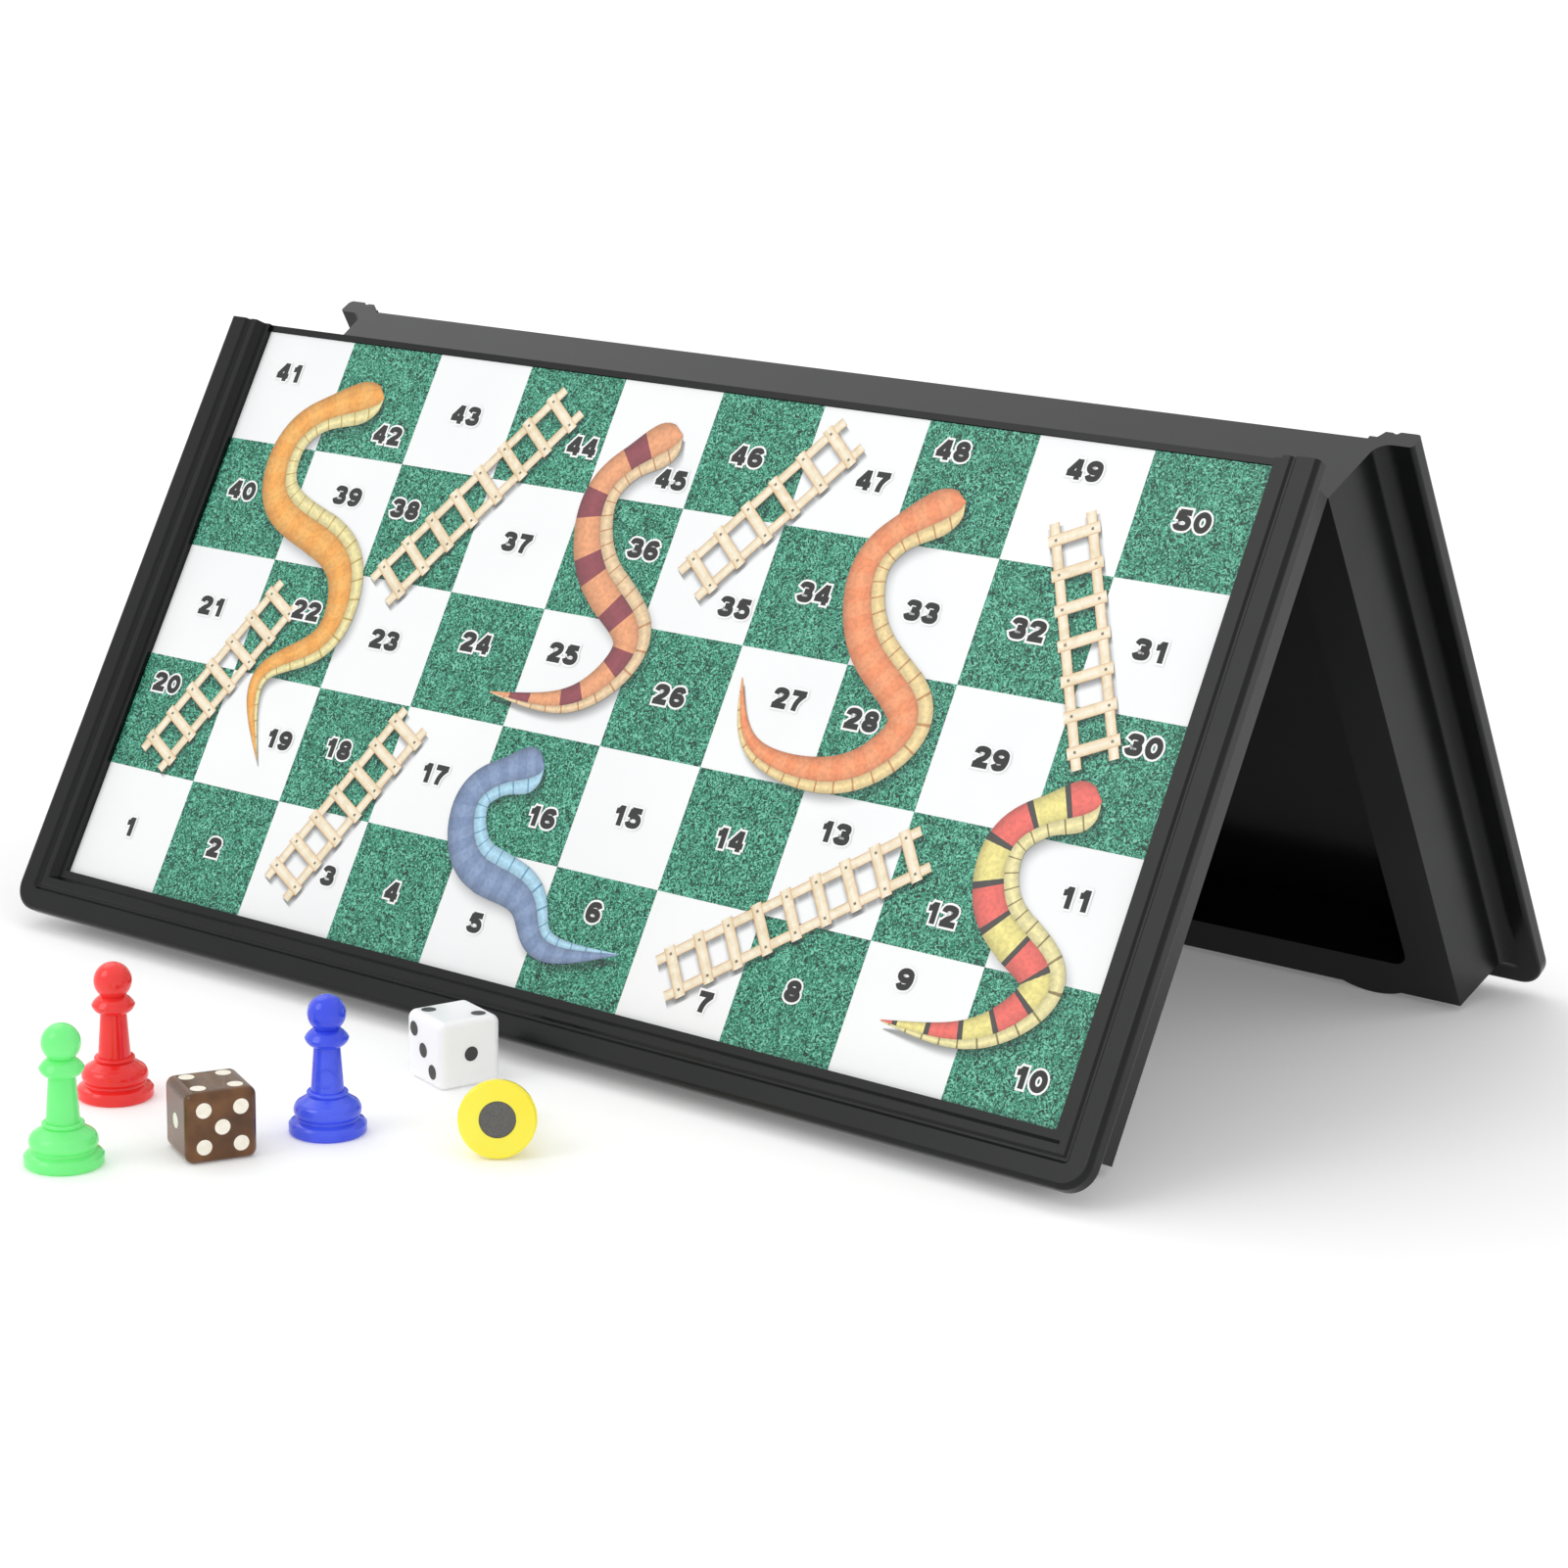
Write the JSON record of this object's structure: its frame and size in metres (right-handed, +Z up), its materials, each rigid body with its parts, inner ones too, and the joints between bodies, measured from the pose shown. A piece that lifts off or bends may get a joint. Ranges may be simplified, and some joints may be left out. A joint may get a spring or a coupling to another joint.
{
  "type": "folding magnetic game board",
  "caption": "Folding board of two hinged hollow trays with steel-backed printed play sides, standing as a tent, with its magnetic pawns and dice beside it",
  "frame": {"origin": "middle of the floor area that the whole set covers, at floor level", "axes": "+X along the hinge, +Y from the loose pieces towards the rear half, +Z up"},
  "size_m": [0.25, 0.249, 0.1126],
  "materials": {
    "tray_plastic": "satin moulded",
    "steel_plate": "tinned sheet",
    "play_print": "printed and laminated",
    "hinge_steel": "drawn wire",
    "green_plastic": "moulded",
    "red_plastic": "moulded",
    "blue_plastic": "moulded",
    "yellow_plastic": "moulded",
    "magnet": "sintered ferrite",
    "brown_die_plastic": "polished",
    "white_die_plastic": "polished",
    "brown_die_paint": "painted",
    "white_die_paint": "painted"
  },
  "bodies": {
    "front_half": {"front_tray": "tray_plastic", "front_steel_plate": "steel_plate", "front_play_sheet": "play_print", "hinge_pin_left": "hinge_steel", "hinge_pin_right": "hinge_steel"},
    "rear_half": {"rear_tray": "tray_plastic", "rear_steel_plate": "steel_plate", "rear_play_sheet": "play_print"},
    "green_pawn_piece": {"green_pawn": "green_plastic", "green_pawn_magnet": "magnet"},
    "red_pawn_piece": {"red_pawn": "red_plastic", "red_pawn_magnet": "magnet"},
    "blue_pawn_piece": {"blue_pawn": "blue_plastic", "blue_pawn_magnet": "magnet"},
    "yellow_pawn_piece": {"yellow_pawn": "yellow_plastic", "yellow_pawn_magnet": "magnet"},
    "brown_die_piece": {"brown_die": "brown_die_plastic", "brown_die_pips": "brown_die_paint"},
    "white_die_piece": {"white_die": "white_die_plastic", "white_die_pips": "white_die_paint"}
  },
  "joints": [
    {"name": "board_hinge", "type": "hinge", "parent": "front_half", "child": "rear_half", "pos_m": [0, 0.04639, 0.10318], "axis": [1, 0, 0], "range_deg": [-59, 121]},
    {"name": "green_pawn_lift", "type": "slide", "parent": "front_half", "child": "green_pawn_piece", "axis": [0, 0, 1], "range_m": [0, 0.12]},
    {"name": "red_pawn_lift", "type": "slide", "parent": "front_half", "child": "red_pawn_piece", "axis": [0, 0, 1], "range_m": [0, 0.12]},
    {"name": "blue_pawn_lift", "type": "slide", "parent": "front_half", "child": "blue_pawn_piece", "axis": [0, 0, 1], "range_m": [0, 0.12]},
    {"name": "yellow_pawn_lift", "type": "slide", "parent": "front_half", "child": "yellow_pawn_piece", "axis": [0, 0, 1], "range_m": [0, 0.12]},
    {"name": "brown_die_lift", "type": "slide", "parent": "front_half", "child": "brown_die_piece", "axis": [0, 0, 1], "range_m": [0, 0.12]},
    {"name": "white_die_lift", "type": "slide", "parent": "front_half", "child": "white_die_piece", "axis": [0, 0, 1], "range_m": [0, 0.12]}
  ]
}
